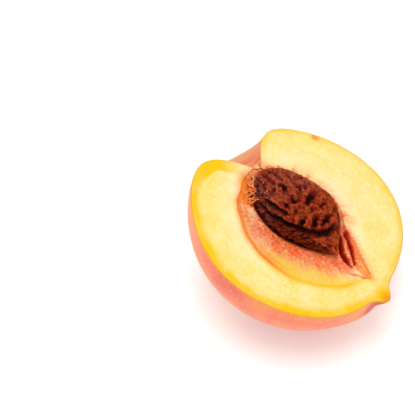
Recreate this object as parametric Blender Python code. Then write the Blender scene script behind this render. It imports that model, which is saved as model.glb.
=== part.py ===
"""Half of a ripe peach with its stone, lying on its skin side and leaning a little, cut face up.

Two pieces: the flesh with its skin, and the stone that sits in it. Both are modelled in the cut
frame, which has its origin at the fruit's centre in the cut plane, +X towards the beak (the small
point opposite the stem), +Y across the cut face and +Z out of it. An empty then lays the half down.
All sizes are in millimetres until a mesh is finished, and angles are in degrees.
"""

from math import asin, atan2, cos, exp, hypot, pi, radians, sin, sqrt

import bmesh
import bpy
from mathutils import Matrix, Vector

MM = 0.001

# The fruit: distance from its centre to its skin, as a few waves round the stem-to-beak axis.
FRUIT_RADIUS = 38.1
STEM_SIDE_FULLER = 3.9
SUTURE_SIDE_WAVES = (-1.0, -0.5, -0.9)
SHOULDER_WAVE = -0.4

# The suture side bulges near the cut, and the back is flatter than a ball.
SUTURE_BULGE = 2.7
SUTURE_BULGE_ANGLE = -93.5
SUTURE_BULGE_WIDTH = 31.5
SUTURE_BULGE_WIDTH_DOWNWARDS = 35.0
BACK_FLATTER = 3.2

# The stem cavity is a funnel sunk in the -X end, between the two shoulders.
CAVITY_DEPTH = 14.8
CAVITY_WIDTH = 14.8
CAVITY_WIDTH_DOWNWARDS = 10.5
CAVITY_ANGLE = 181.0

# The beak is a blunt nipple near the +X end, and the skin swells below it.
BEAK_HEIGHT = 3.9
BEAK_WIDTH = 6.2
BEAK_WIDTH_DOWNWARDS = 8.0
BEAK_ANGLE = 4.0
BEAK_SWELL = 2.4
BEAK_SWELL_WIDTH = 22.0
BEAK_SWELL_WIDTH_DOWNWARDS = 8.5
BEAK_SWELL_BELOW = 17.0

# The stone: almond-shaped, pointed towards the beak and blunt towards the stem.
STONE_CENTRE = Vector((-4.4, -1.3, 0.0))
STONE_HALF_LENGTH = 19.8
STONE_HALF_WIDTH = 12.8
STONE_HALF_THICKNESS = 9.6
STONE_TIP_POWER = 2.6
STONE_STEM_POWER = 1.0
STONE_BOW = 2.9
KEEL_SHARPNESS = 1.25
STONE_COLUMNS = 64
STONE_RINGS = 36

# Furrows run along both keels, and rows of pits cover the flanks.
FURROW_DEPTH = 0.9
FURROW_WIDTH = 5.0
FURROW_ANGLES = (20.0, 158.0, 202.0, 340.0)
PIT_ROW_ANGLES = (44.0, 68.0, 92.0, 114.0, 136.0)
PITS_PER_ROW = 6
PIT_DEPTH = 1.0
PIT_LENGTH = 2.3
PIT_WIDTH = 1.3

# Where the halves were twisted apart, the flesh is torn out round the stone, down to a hollow.
# On the suture side, -Y, its edge is an arc. On the far side a straight edge runs in from the beak.
HOLLOW_ARC_CENTRE = Vector((-0.5, 2.6, 0.0))
HOLLOW_ARC_RADIUS = 27.2
HOLLOW_FAR_EDGE_START = Vector((34.0, 1.7, 0.0))
HOLLOW_FAR_EDGE_ANGLE = 162.0
HOLLOW_FAR_EDGE_MEETS_STONE = (40.0, 75.0)
HOLLOW_LIP = 1.2
HOLLOW_LIP_AT_STEM = 0.4
HOLLOW_STEP = 0.5
HOLLOW_DEPTH = 3.2
HOLLOW_LEAST_DEPTH = 0.5
HOLLOW_DEEPEST_AT = -50.0
STONE_GAP = 0.4

# The cut face: a slightly crowned, hand-cut plane, whose edge rolls over into the skin.
EDGE_ROLL = 0.7
EDGE_DROP = 0.5
KNIFE_WAVE = 0.2
KNIFE_WAVE_LENGTH = 24.0

# How the half lies: the beak end down, the +Y side down, on a small flattened spot.
BEAK_DOWN = 15.1
SIDE_DOWN = 8.7
FLAT_SPOT_DEPTH = 1.25

# Edges that bend more than this are shaded sharp.
SHARP_ANGLE = 40.0

# The turned blank that the flesh is carved from: rings on its flat top, then rings down its back.
COLUMNS = 84
COLUMN_BUNCHING = 0.55
SEAT_SHARE = 0.4
HOLLOW_SHARE = 0.6
TOP_RINGS = (0.14, 0.24, 0.32, 0.37, 0.4, 0.47, 0.54, 0.585, 0.6, 0.66, 0.78, 0.9, 0.965, 0.985)
BACK_RINGS = (0, 3, 6, 9, 12, 16, 21, 27, 35, 44, 54, 65, 77)


def clear_scene():
    for old in list(bpy.data.objects):
        bpy.data.objects.remove(old, do_unlink=True)


def smooth_step(low, high, value):
    share = min(1.0, max(0.0, (value - low) / (high - low)))
    return share * share * (3.0 - 2.0 * share)


def mix(first, second, share):
    return first + (second - first) * share


def angle_between(first, second):
    return pi - abs(abs(first - second) % (2.0 * pi) - pi)


def bump(direction, centre_angle, width, width_downwards, below=0.0):
    """One at an angle in the cut plane, or some way below it, fading to nothing about a width away."""
    downwards = asin(max(-1.0, min(1.0, -direction.z)))
    sideways = angle_between(atan2(direction.y, direction.x), radians(centre_angle)) * cos(downwards)
    depth = downwards - radians(below)
    return exp(-((sideways / radians(width)) ** 2) - (depth / radians(width_downwards)) ** 2)


def skin_radius(direction):
    """Distance from the fruit's centre to its skin."""
    along = direction.x
    across = direction.y
    first, second, third = SUTURE_SIDE_WAVES
    radius = FRUIT_RADIUS - STEM_SIDE_FULLER * along
    radius += SHOULDER_WAVE * (4.0 * along**3 - 3.0 * along)
    radius += across * (first + second * 2.0 * along + third * (4.0 * along**2 - 1.0))
    radius -= BACK_FLATTER * direction.z**2
    radius += SUTURE_BULGE * bump(
        direction, SUTURE_BULGE_ANGLE, SUTURE_BULGE_WIDTH, SUTURE_BULGE_WIDTH_DOWNWARDS
    )
    radius -= CAVITY_DEPTH * bump(direction, CAVITY_ANGLE, CAVITY_WIDTH, CAVITY_WIDTH_DOWNWARDS)
    radius += BEAK_HEIGHT * bump(direction, BEAK_ANGLE, BEAK_WIDTH, BEAK_WIDTH_DOWNWARDS)
    radius += BEAK_SWELL * bump(
        direction, BEAK_ANGLE, BEAK_SWELL_WIDTH, BEAK_SWELL_WIDTH_DOWNWARDS, BEAK_SWELL_BELOW
    )
    return radius


def skin_point(direction):
    return direction * skin_radius(direction)


def stone_power(along):
    """The stone narrows fast towards its tip and slowly towards its stem end."""
    return mix(STONE_STEM_POWER, STONE_TIP_POWER, smooth_step(-0.25, 0.35, along))


def stone_breadth(along):
    """Share of the full width and thickness at a place along the stone, from -1 to 1."""
    return max(0.0, 1.0 - along * along) ** (0.5 * stone_power(along))


def stone_bow(along):
    """The stone's tip half bulges a little to the far side, +Y."""
    return STONE_BOW * (1.0 - along * along) * smooth_step(-0.6, 0.6, along)


def stone_point(along, turn):
    """A point on the smooth stone: turn is the angle round its long axis, 0 at the +Y keel."""
    breadth = stone_breadth(along)
    side = stone_bow(along) + STONE_HALF_WIDTH * breadth * cos(turn)
    height = STONE_HALF_THICKNESS * breadth * abs(sin(turn)) ** KEEL_SHARPNESS
    if sin(turn) < 0.0:
        height = -height
    return Vector((STONE_HALF_LENGTH * along, side, height))


def stone_reach(angle):
    """Distance from the stone's centre to its keel line, at an angle in the cut plane."""
    low = 0.0
    high = STONE_HALF_LENGTH
    for _ in range(30):
        reach = 0.5 * (low + high)
        along = reach * cos(angle) / STONE_HALF_LENGTH
        side = reach * sin(angle) - stone_bow(along)
        if abs(side) < STONE_HALF_WIDTH * stone_breadth(along):
            low = reach
        else:
            high = reach
    return low


def stone_underside(x, y):
    """Depth of the smooth stone's lower flank under a point of the cut plane, or 0 outside it."""
    along = max(-1.0, min(1.0, (x - STONE_CENTRE.x) / STONE_HALF_LENGTH))
    breadth = stone_breadth(along)
    side = abs(y - STONE_CENTRE.y - stone_bow(along))
    if breadth <= 0.0 or side >= STONE_HALF_WIDTH * breadth:
        return 0.0
    rise = sqrt(1.0 - (side / (STONE_HALF_WIDTH * breadth)) ** 2)
    return STONE_HALF_THICKNESS * breadth * rise**KEEL_SHARPNESS


def hollow_reach(angle):
    """The torn hollow's reach from the stone's centre: to its arc or its far edge, if that is nearer."""
    ray = Vector((cos(angle), sin(angle), 0.0))
    to_centre = HOLLOW_ARC_CENTRE - STONE_CENTRE
    middle = ray.dot(to_centre)
    arc_reach = middle + sqrt(middle**2 + HOLLOW_ARC_RADIUS**2 - to_centre.length_squared)
    edge_angle = radians(HOLLOW_FAR_EDGE_ANGLE)
    outwards = Vector((sin(edge_angle), -cos(edge_angle), 0.0))
    spread = ray.dot(outwards)
    reach = arc_reach
    if spread > 0.01:
        reach = min(reach, (HOLLOW_FAR_EDGE_START - STONE_CENTRE).dot(outwards) / spread)
    lip = mix(HOLLOW_LIP_AT_STEM, HOLLOW_LIP, smooth_step(-0.9, -0.3, cos(angle)))
    lip += stone_reach(angle) + STONE_GAP
    opens, closes = HOLLOW_FAR_EDGE_MEETS_STONE
    closed = smooth_step(radians(opens), radians(closes), angle)
    return max(lip, mix(reach, lip, closed))


def hollow_floor(angle):
    """Depth of the flesh beside the stone: deepest below its tip, and least at the stem and far side."""
    share = 0.5 + 0.5 * cos(angle - radians(HOLLOW_DEEPEST_AT))
    return mix(HOLLOW_LEAST_DEPTH, HOLLOW_DEPTH, share)


def knife_wave(x, y):
    return KNIFE_WAVE * sin(2.0 * pi * x / KNIFE_WAVE_LENGTH + 0.6) * cos(2.0 * pi * y / KNIFE_WAVE_LENGTH)


def top_point(share, angle):
    """A point of the cut face: share is 0 at the stone's centre and 1 at the skin."""
    direction = Vector((cos(angle), sin(angle), 0.0))
    keel = STONE_CENTRE + direction * (stone_reach(angle) + STONE_GAP)
    ledge = STONE_CENTRE + direction * hollow_reach(angle)
    rim = skin_point(direction)
    floor = hollow_floor(angle)
    if share <= SEAT_SHARE:
        point = STONE_CENTRE.lerp(keel, share / SEAT_SHARE)
        point.z = -max(floor, stone_underside(point.x, point.y) + STONE_GAP)
    elif share <= HOLLOW_SHARE:
        climb = (share - SEAT_SHARE) / (HOLLOW_SHARE - SEAT_SHARE)
        point = keel.lerp(ledge, climb)
        point.z = -mix(HOLLOW_STEP, floor, cos(0.5 * pi * climb) ** 1.5)
        if share == HOLLOW_SHARE:
            point.z = knife_wave(point.x, point.y)
    else:
        point = ledge.lerp(rim, (share - HOLLOW_SHARE) / (1.0 - HOLLOW_SHARE))
        fade = smooth_step(0.0, 6.0, (rim - point).length)
        roll = 1.0 - min(1.0, (rim - point).length / EDGE_ROLL)
        point.z = knife_wave(point.x, point.y) * fade - EDGE_DROP * roll**2
    return point


def turned_blank(top_rings, back_rings, columns):
    """A half ball of radius 1 with a flat top, turned from its profile round the Z axis."""
    blank = bmesh.new()
    profile = [blank.verts.new((0.0, 0.0, 0.0))]
    profile += [blank.verts.new((ring, 0.0, 0.0)) for ring in top_rings]
    for dip in back_rings:
        profile.append(blank.verts.new((cos(radians(dip)), 0.0, -sin(radians(dip)))))
    profile.append(blank.verts.new((0.0, 0.0, -1.0)))
    edges = [blank.edges.new(pair) for pair in zip(profile, profile[1:])]
    bmesh.ops.spin(
        blank, geom=profile + edges, cent=(0, 0, 0), axis=(0, 0, 1),
        angle=2.0 * pi, steps=columns, use_merge=True,
    )
    bmesh.ops.remove_doubles(blank, verts=blank.verts, dist=1e-6)
    bmesh.ops.recalc_face_normals(blank, faces=blank.faces)
    return blank


def carve_flesh(blank, down):
    """Moves each point of the blank to the cut face or the skin, whose rings close in on down."""
    for vert in blank.verts:
        across = hypot(vert.co.x, vert.co.y)
        turn = atan2(vert.co.y, vert.co.x)
        angle = turn - 0.5 * COLUMN_BUNCHING * sin(2.0 * turn)
        if vert.co.z > -1e-6 and across < 1.0 - 1e-6:
            vert.co = top_point(round(across, 6), angle)
        else:
            level = Vector((cos(angle), sin(angle), 0.0)) * across
            on_rim = vert.co.z > -1e-6
            vert.co = skin_point((level - down * vert.co.z).normalized())
            if on_rim:
                vert.co.z = -EDGE_DROP


def rest_rotation():
    """Turns the cut frame to the frame of the surface that the half lies on."""
    side_down = Matrix.Rotation(radians(-SIDE_DOWN), 4, "X")
    beak_down = Matrix.Rotation(radians(BEAK_DOWN), 4, "Y")
    return beak_down @ side_down


def flatten_underside(mesh, up):
    """Cuts the lowest point of the skin off level, as a ripe peach settles on a flat spot."""
    lowest = min(vert.co.dot(up) for vert in mesh.verts)
    level = lowest + FLAT_SPOT_DEPTH
    bmesh.ops.bisect_plane(
        mesh, geom=list(mesh.verts) + list(mesh.edges) + list(mesh.faces),
        plane_co=up * level, plane_no=-up, clear_outer=True,
    )
    bmesh.ops.holes_fill(mesh, edges=[edge for edge in mesh.edges if edge.is_boundary])
    return level


def furrow_depth(along, turn):
    """Depth of the keel furrows, fading out at both ends of the stone."""
    ends = smooth_step(0.0, 0.3, 1.0 - abs(along))
    nearest = min(angle_between(turn, radians(line)) for line in FURROW_ANGLES)
    return FURROW_DEPTH * ends * exp(-((nearest / radians(FURROW_WIDTH)) ** 2))


def pit_depth(along, turn):
    """Depth of the staggered pits on both flanks."""
    flank = turn if turn <= pi else 2.0 * pi - turn
    breadth = max(0.15, stone_breadth(along))
    deepest = 0.0
    for row, row_angle in enumerate(PIT_ROW_ANGLES):
        for pit in range(PITS_PER_ROW):
            place = -0.78 + (pit + 0.5 * (row % 2)) * 1.45 / PITS_PER_ROW
            lengthways = (along - place) * STONE_HALF_LENGTH / PIT_LENGTH
            sideways = (flank - radians(row_angle)) * STONE_HALF_WIDTH * breadth / PIT_WIDTH
            deepest = max(deepest, exp(-(lengthways**2) - sideways**2))
    return PIT_DEPTH * deepest


def stone_mesh():
    """A ball with its poles on the long axis, drawn out to the stone's form and furrowed."""
    mesh = bmesh.new()
    bmesh.ops.create_uvsphere(mesh, u_segments=STONE_COLUMNS, v_segments=STONE_RINGS, radius=1.0)
    bmesh.ops.rotate(mesh, verts=mesh.verts, cent=(0, 0, 0), matrix=Matrix.Rotation(pi / 2.0, 3, "Y"))
    for vert in mesh.verts:
        along = max(-1.0, min(1.0, vert.co.x))
        turn = atan2(vert.co.z, vert.co.y) % (2.0 * pi)
        sunk = furrow_depth(along, turn) + pit_depth(along, turn)
        point = stone_point(along, turn)
        inwards = Vector((0.0, point.y - stone_bow(along), point.z))
        if inwards.length > sunk:
            point -= inwards.normalized() * sunk * smooth_step(0.0, 5.0, inwards.length)
        vert.co = STONE_CENTRE + point
    bmesh.ops.recalc_face_normals(mesh, faces=mesh.faces)
    return mesh


def plain_material(name, colour, roughness):
    material = bpy.data.materials.new(name)
    material.use_nodes = True
    shader = material.node_tree.nodes["Principled BSDF"]
    shader.inputs["Base Color"].default_value = (*colour, 1.0)
    shader.inputs["Roughness"].default_value = roughness
    shader.inputs["Metallic"].default_value = 0.0
    return material


def node_object(name, mesh, material, parent):
    """Finishes a mesh in metres and makes it a named object under the empty that lays it down."""
    bmesh.ops.scale(mesh, vec=(MM, MM, MM), verts=mesh.verts)
    data = bpy.data.meshes.new(name)
    mesh.to_mesh(data)
    mesh.free()
    data.shade_smooth()
    data.set_sharp_from_angle(angle=radians(SHARP_ANGLE))
    data.materials.append(material)
    piece = bpy.data.objects.new(name, data)
    bpy.context.scene.collection.objects.link(piece)
    piece.parent = parent
    return piece


def lay_down(rest, turn, mesh, level):
    """Puts the empty where the flesh's box is centred on the origin and its flat spot is at z = 0."""
    spots = [turn @ vert.co for vert in mesh.verts]
    middle_x = 0.5 * (min(p.x for p in spots) + max(p.x for p in spots))
    middle_y = 0.5 * (min(p.y for p in spots) + max(p.y for p in spots))
    rest.rotation_euler = turn.to_euler()
    rest.location = Vector((-middle_x, -middle_y, -level)) * MM


def build():
    clear_scene()
    rest = bpy.data.objects.new("rest_pose", None)
    bpy.context.scene.collection.objects.link(rest)
    turn = rest_rotation()
    up = turn.inverted().to_3x3() @ Vector((0.0, 0.0, 1.0))
    flesh = turned_blank(TOP_RINGS, BACK_RINGS, COLUMNS)
    carve_flesh(flesh, -up)
    level = flatten_underside(flesh, up)
    lay_down(rest, turn, flesh, level)
    node_object("flesh", flesh, plain_material("flesh", (0.93, 0.71, 0.28), 0.45), rest)
    node_object("stone", stone_mesh(), plain_material("stone", (0.19, 0.06, 0.03), 0.6), rest)


build()
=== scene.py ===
# %% [markdown]
# # A ripe peach half with its stone
#
# Half of a freestone peach lies on its skin, cut face up. Four things make it look real: the knife-cut
# face with its golden edge, the torn hollow where the halves were twisted apart, the deeply pitted
# stone, and the velvety skin. Each is its own piece here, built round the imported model, which gives
# the size, the place and the collision. Every piece is first shaped in millimetres in the *cut frame*:
# its origin is the fruit's centre in the cut plane, X runs from the stem to the beak, Y runs across
# the cut face and Z points out of it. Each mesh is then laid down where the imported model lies.

# %% Load the frame
from functools import lru_cache
from math import asin, atan2, cos, degrees, exp, hypot, pi, radians, sin, sqrt
from random import Random

import bmesh
import bpy
from mathutils import Matrix, Vector, noise
from mathutils.kdtree import KDTree


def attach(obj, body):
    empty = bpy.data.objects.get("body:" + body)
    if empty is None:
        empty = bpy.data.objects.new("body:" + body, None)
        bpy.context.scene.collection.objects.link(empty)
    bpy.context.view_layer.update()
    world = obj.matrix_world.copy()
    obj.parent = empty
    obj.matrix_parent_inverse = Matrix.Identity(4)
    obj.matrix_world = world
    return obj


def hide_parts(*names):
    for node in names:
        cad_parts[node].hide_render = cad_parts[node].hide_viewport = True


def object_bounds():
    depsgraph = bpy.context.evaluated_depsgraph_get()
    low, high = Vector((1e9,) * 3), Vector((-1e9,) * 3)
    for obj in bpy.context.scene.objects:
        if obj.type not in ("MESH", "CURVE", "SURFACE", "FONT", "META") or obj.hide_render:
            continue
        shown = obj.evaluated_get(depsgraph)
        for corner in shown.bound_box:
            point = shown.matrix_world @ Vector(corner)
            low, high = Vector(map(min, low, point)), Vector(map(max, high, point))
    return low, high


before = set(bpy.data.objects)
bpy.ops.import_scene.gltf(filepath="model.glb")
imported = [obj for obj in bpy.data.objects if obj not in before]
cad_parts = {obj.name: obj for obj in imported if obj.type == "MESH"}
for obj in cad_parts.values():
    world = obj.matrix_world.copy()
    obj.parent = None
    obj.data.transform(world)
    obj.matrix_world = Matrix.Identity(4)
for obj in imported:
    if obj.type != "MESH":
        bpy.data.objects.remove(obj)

cad_low, cad_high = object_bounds()
cad_size = cad_high - cad_low
print("CAD box in mm:", [round(side * 1000, 1) for side in cad_size])

# %% [markdown]
# ## The cut frame
#
# The half leans a little: its beak end and its far side are lower, as a round-backed half settles.
# Two turns describe that lean. The fruit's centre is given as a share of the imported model's box, so
# that everything follows the frame. `lay_down` turns a finished mesh from millimetres in the cut
# frame into metres in the world, and makes it an object at the origin, as the export needs.

# %% The cut frame and how a piece is laid down
MM = 0.001
BEAK_DOWN = radians(15.1)
SIDE_DOWN = radians(8.7)
CENTRE_SHARE = Vector((0.5329, 0.5200, 0.7272))

fruit_centre = cad_low + Vector(share * side for share, side in zip(CENTRE_SHARE, cad_size))
lean = Matrix.Rotation(BEAK_DOWN, 4, "Y") @ Matrix.Rotation(-SIDE_DOWN, 4, "X")
cut_to_world = Matrix.Translation(fruit_centre) @ lean @ Matrix.Scale(MM, 4)
down_in_cut = lean.inverted().to_3x3() @ Vector((0.0, 0.0, -1.0))


def lay_down(mesh, name):
    bmesh.ops.transform(mesh, matrix=cut_to_world, verts=mesh.verts)
    data = bpy.data.meshes.new(name)
    mesh.to_mesh(data)
    mesh.free()
    data.shade_smooth()
    piece = bpy.data.objects.new(name, data)
    bpy.context.scene.collection.objects.link(piece)
    triangles = sum(len(face.vertices) - 2 for face in data.polygons)
    print(name, "has", triangles, "triangles")
    return piece


print("fruit centre in mm:", [round(c / MM, 2) for c in fruit_centre])

# %% [markdown]
# ## The camera
#
# The half is seen from well above, from its stem-side left, with a long lens, which keeps a small
# fruit from looking stretched. The camera is placed by its direction from the fruit, and the fruit
# sits right of the middle of the picture. A camera looks along its own -Z axis, so its Z axis
# points back from the fruit to the camera.

# %% Place the camera
CAMERA_AZIMUTH = radians(49.2)
CAMERA_ELEVATION = radians(47.9)
CAMERA_DISTANCE = 0.3957
FRUIT_RIGHT_OF_AXIS = 0.0345
FRUIT_BELOW_AXIS = 0.0049
LENS_ANGLE = radians(20.0)

back = Vector((
    sin(CAMERA_AZIMUTH) * cos(CAMERA_ELEVATION),
    -cos(CAMERA_AZIMUTH) * cos(CAMERA_ELEVATION),
    sin(CAMERA_ELEVATION),
))
right = Vector((cos(CAMERA_AZIMUTH), sin(CAMERA_AZIMUTH), 0.0))
above = back.cross(right)
camera = bpy.data.objects.new("camera", bpy.data.cameras.new("camera"))
camera.data.angle = LENS_ANGLE
camera.rotation_euler = Matrix((right, above, back)).transposed().to_euler()
camera.location = fruit_centre + back * CAMERA_DISTANCE
camera.location += above * FRUIT_BELOW_AXIS - right * FRUIT_RIGHT_OF_AXIS
bpy.context.scene.collection.objects.link(camera)
bpy.context.scene.camera = camera
print("camera at", [round(c, 3) for c in camera.location])

# %% [markdown]
# ## The fruit's outline
#
# A peach could be sculpted, but its outline is close to a circle with a few waves in it, a funnel at
# the stem and a small nipple at the beak. One function of direction gives the distance from the
# centre to the skin, so the skin, the flesh inside it and the cut outline all agree. Each bump fades
# with the angle sideways and with the angle downwards: the funnel, the beak, the swelling below the
# beak and the bulge of the suture side.

# %% Distance from the centre to the skin
FRUIT_RADIUS = 37.95
STEM_SIDE_FULLER = 3.9
SUTURE_SIDE_WAVES = (-1.0, -0.5, -0.9)
SHOULDER_WAVE = -0.4
BACK_FLATTER = 3.2
SUTURE_BULGE = 2.7
SUTURE_BULGE_ANGLE = -93.5
SUTURE_BULGE_WIDTHS = (31.5, 35.0)
CAVITY_DEPTH = 16.2
CAVITY_WIDTHS = (14.8, 10.5)
CAVITY_ANGLE = 181.0
BEAK_HEIGHT = 3.85
BEAK_WIDTHS = (6.1, 7.8)
BEAK_ANGLE = 4.0
BEAK_SWELL = 2.4
BEAK_SWELL_WIDTHS = (22.0, 8.5)
BEAK_SWELL_BELOW = 17.0


def smooth_step(low, high, value):
    share = min(1.0, max(0.0, (value - low) / (high - low)))
    return share * share * (3.0 - 2.0 * share)


def mix(first, second, share):
    return first + (second - first) * share


def bump(direction, centre_angle, widths, below=0.0, wider=1.0):
    downwards = asin(max(-1.0, min(1.0, -direction.z)))
    turn = atan2(direction.y, direction.x) - radians(centre_angle)
    sideways = ((turn + pi) % (2.0 * pi) - pi) * cos(downwards)
    depth = downwards - radians(below)
    width, width_downwards = (wider * radians(size) for size in widths)
    return exp(-((sideways / width) ** 2) - (depth / width_downwards) ** 2)


def skin_radius(direction):
    along = direction.x
    across = direction.y
    first, second, third = SUTURE_SIDE_WAVES
    radius = FRUIT_RADIUS - STEM_SIDE_FULLER * along
    radius += SHOULDER_WAVE * (4.0 * along**3 - 3.0 * along)
    radius += across * (first + second * 2.0 * along + third * (4.0 * along**2 - 1.0))
    radius -= BACK_FLATTER * direction.z**2
    radius += SUTURE_BULGE * bump(direction, SUTURE_BULGE_ANGLE, SUTURE_BULGE_WIDTHS)
    radius -= CAVITY_DEPTH * bump(direction, CAVITY_ANGLE, CAVITY_WIDTHS)
    radius += BEAK_HEIGHT * bump(direction, BEAK_ANGLE, BEAK_WIDTHS)
    return radius + BEAK_SWELL * bump(direction, BEAK_ANGLE, BEAK_SWELL_WIDTHS, BEAK_SWELL_BELOW)


print("skin at the shoulder, mm:", round(skin_radius(Vector((-0.85, 0.53, 0.0)).normalized()), 1))

# %% [markdown]
# ## The stone's smooth form
#
# Under its pits a peach stone is an almond: blunt at the stem, pointed at the beak, with a sharp
# keel where its two shells meet. The keel lies in the cut plane. `stone_point` gives a point of that
# form from two numbers: how far along the stone, from -1 to 1, and the turn round its long axis.

# %% The smooth stone
STONE_CENTRE = Vector((-4.4, -1.3, 0.0))
STONE_HALF_LENGTH = 19.8
STONE_HALF_WIDTH = 12.8
STONE_HALF_THICKNESS = 9.6
STONE_TIP_POWER = 2.6
STONE_STEM_POWER = 1.0
STONE_BOW = 2.9
KEEL_SHARPNESS = 1.25
STONE_GAP = 0.4


def stone_breadth(along):
    power = mix(STONE_STEM_POWER, STONE_TIP_POWER, smooth_step(-0.25, 0.35, along))
    return max(0.0, 1.0 - along * along) ** (0.5 * power)


def stone_bow(along):
    return STONE_BOW * (1.0 - along * along) * smooth_step(-0.6, 0.6, along)


def stone_point(along, turn):
    breadth = stone_breadth(along)
    height = STONE_HALF_THICKNESS * breadth * abs(sin(turn)) ** KEEL_SHARPNESS
    if sin(turn) < 0.0:
        height = -height
    side = stone_bow(along) + STONE_HALF_WIDTH * breadth * cos(turn)
    return Vector((STONE_HALF_LENGTH * along, side, height))


def stone_reach(angle):
    low = 0.0
    high = STONE_HALF_LENGTH
    for _ in range(24):
        reach = 0.5 * (low + high)
        along = reach * cos(angle) / STONE_HALF_LENGTH
        if abs(reach * sin(angle) - stone_bow(along)) < STONE_HALF_WIDTH * stone_breadth(along):
            low = reach
        else:
            high = reach
    return low


def stone_underside(x, y):
    along = max(-1.0, min(1.0, (x - STONE_CENTRE.x) / STONE_HALF_LENGTH))
    half_width = STONE_HALF_WIDTH * stone_breadth(along)
    side = abs(y - STONE_CENTRE.y - stone_bow(along))
    if side >= half_width:
        return 0.0
    rise = sqrt(1.0 - (side / half_width) ** 2)
    return STONE_HALF_THICKNESS * stone_breadth(along) * rise**KEEL_SHARPNESS


print("stone reach to its tip and its side, mm:", [round(stone_reach(turn), 1) for turn in (0.0, pi / 2)])

# %% [markdown]
# ## The torn hollow
#
# A peach is cut to the stone all round and then twisted. The knife leaves a clean face, but round
# the stone the flesh tears out. The hollow's outer edge, the *ledge*, is an arc on the suture side.
# On the far side a straight edge runs from the beak to the stone. Two clefts open where the flesh
# has come away from the stone near its tip. These edges are named here once, and a
# `spoke` collects where one line out from the stone meets the keel, the ledge and the skin.

# %% Edges of the hollow, and one spoke of the cut face
ARC_CENTRE = Vector((-0.5, 2.6, 0.0))
ARC_RADIUS = 27.2
FAR_EDGE_START = Vector((34.0, 1.7, 0.0))
FAR_EDGE_ANGLE = radians(162.0)
FAR_EDGE_MEETS_STONE = (radians(40.0), radians(75.0))
LEDGE_WOBBLE = 0.55
HOLLOW_LIP = 1.2
HOLLOW_LIP_AT_STEM = 0.5
HOLLOW_DEPTH = 2.6
HOLLOW_LEAST_DEPTH = 0.5
HOLLOW_DEEPEST_AT = radians(-50.0)
STEM_SKEW = 0.06
STEM_SKEW_TURNS = (2.4, 3.1)
SKIN_THICKNESS = 0.25


def hollow_reach(angle):
    ray = Vector((cos(angle), sin(angle), 0.0))
    to_centre = ARC_CENTRE - STONE_CENTRE
    middle = ray.dot(to_centre)
    reach = middle + sqrt(middle**2 + ARC_RADIUS**2 - to_centre.length_squared)
    outwards = Vector((sin(FAR_EDGE_ANGLE), -cos(FAR_EDGE_ANGLE), 0.0))
    spread = ray.dot(outwards)
    if spread > 0.01:
        reach = min(reach, (FAR_EDGE_START - STONE_CENTRE).dot(outwards) / spread)
    lip = mix(HOLLOW_LIP_AT_STEM, HOLLOW_LIP, smooth_step(-0.9, -0.3, cos(angle)))
    lip += stone_reach(angle) + STONE_GAP
    closed = smooth_step(*FAR_EDGE_MEETS_STONE, angle)
    wobble = LEDGE_WOBBLE * noise.fractal(ray * 3.0, 1.0, 2.0, 4)
    return max(lip + 0.25 * wobble, mix(reach + wobble, lip, closed))


@lru_cache(None)
def spoke(angle):
    """Keel, ledge and rim points, and the hollow's floor, for one line out from the middle."""
    stone_angle = angle - STEM_SKEW * smooth_step(*STEM_SKEW_TURNS, abs(angle))
    ray = Vector((cos(stone_angle), sin(stone_angle), 0.0))
    keel = STONE_CENTRE + ray * (stone_reach(stone_angle) + STONE_GAP)
    ledge = STONE_CENTRE + ray * hollow_reach(stone_angle)
    outwards = Vector((cos(angle), sin(angle), 0.0))
    rim = outwards * (skin_radius(outwards) - SKIN_THICKNESS)
    deep = 0.5 + 0.5 * cos(stone_angle - HOLLOW_DEEPEST_AT)
    return keel, ledge, rim, mix(HOLLOW_LEAST_DEPTH, HOLLOW_DEPTH, deep)


below_stone = radians(-90.0)
print("torn flesh below the stone, mm:", round(hollow_reach(below_stone) - stone_reach(below_stone), 1))

# %% [markdown]
# ## Relief of the cut face
#
# Seen close, the clean face is nearly flat, with the long shallow waves of a knife. Inside the ledge
# the flesh is stringy: fibres run out from the stone, so their relief is noise that changes fast
# round the stone and slowly outwards. Close to the stone it is crumbly too. Four cuts are paths of a
# few points, each with its own half width: two clefts beside the tip, the slit from there to the
# beak, and a short crease.

# %% Cuts and fibres
CLEFT = ((9.2, 7.0, 0.5), (12.0, 4.6, 0.8), (14.6, 2.5, 1.1), (17.2, 1.9, 1.0), (20.4, 1.2, 0.3))
SECOND_CLEFT = ((9.4, 8.8, 0.5), (14.4, 6.6, 0.7), (20.4, 2.9, 0.3))
SLIT = ((12.5, 8.8, 0.6), (20.0, 6.2, 0.5), (28.5, 3.4, 0.2))
CREASE = ((22.0, -1.2, 0.4), (23.9, 0.4, 0.5), (26.6, 1.7, 0.3))
CLEFT_DEPTH = 4.2
SECOND_CLEFT_DEPTH = 2.4
SLIT_DEPTH = 1.1
CREASE_DEPTH = 0.7
FIBRES_ROUND = 17.0
FIBRE_CHANGE_OUTWARDS = 0.10
FINE_FIBRES_ROUND = 2.9
FINE_FIBRE_CHANGE_OUTWARDS = 0.22
COARSE_SHARE = 0.65
KNIFE_WAVE_HEIGHT = 0.2
KNIFE_WAVE_LENGTH = 24.0
KNIFE_ROUGHNESS = 0.05


def path_gap(x, y, path):
    """Distance to a path of (x, y, half width) points, and its half width at the nearest place."""
    best = (1e9, 1.0)
    for (from_x, from_y, from_width), (to_x, to_y, to_width) in zip(path, path[1:]):
        run_x = to_x - from_x
        run_y = to_y - from_y
        share = ((x - from_x) * run_x + (y - from_y) * run_y) / (run_x**2 + run_y**2)
        share = min(1.0, max(0.0, share))
        gap = hypot(x - from_x - run_x * share, y - from_y - run_y * share)
        best = min(best, (gap, mix(from_width, to_width, share)))
    return best


def inside_cut(x, y, path):
    """How far inside a V-shaped cut a point is, from 0 at its edge to 1 at its bottom."""
    gap, half_width = path_gap(x, y, path)
    return smooth_step(half_width, 0.0, gap)


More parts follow.
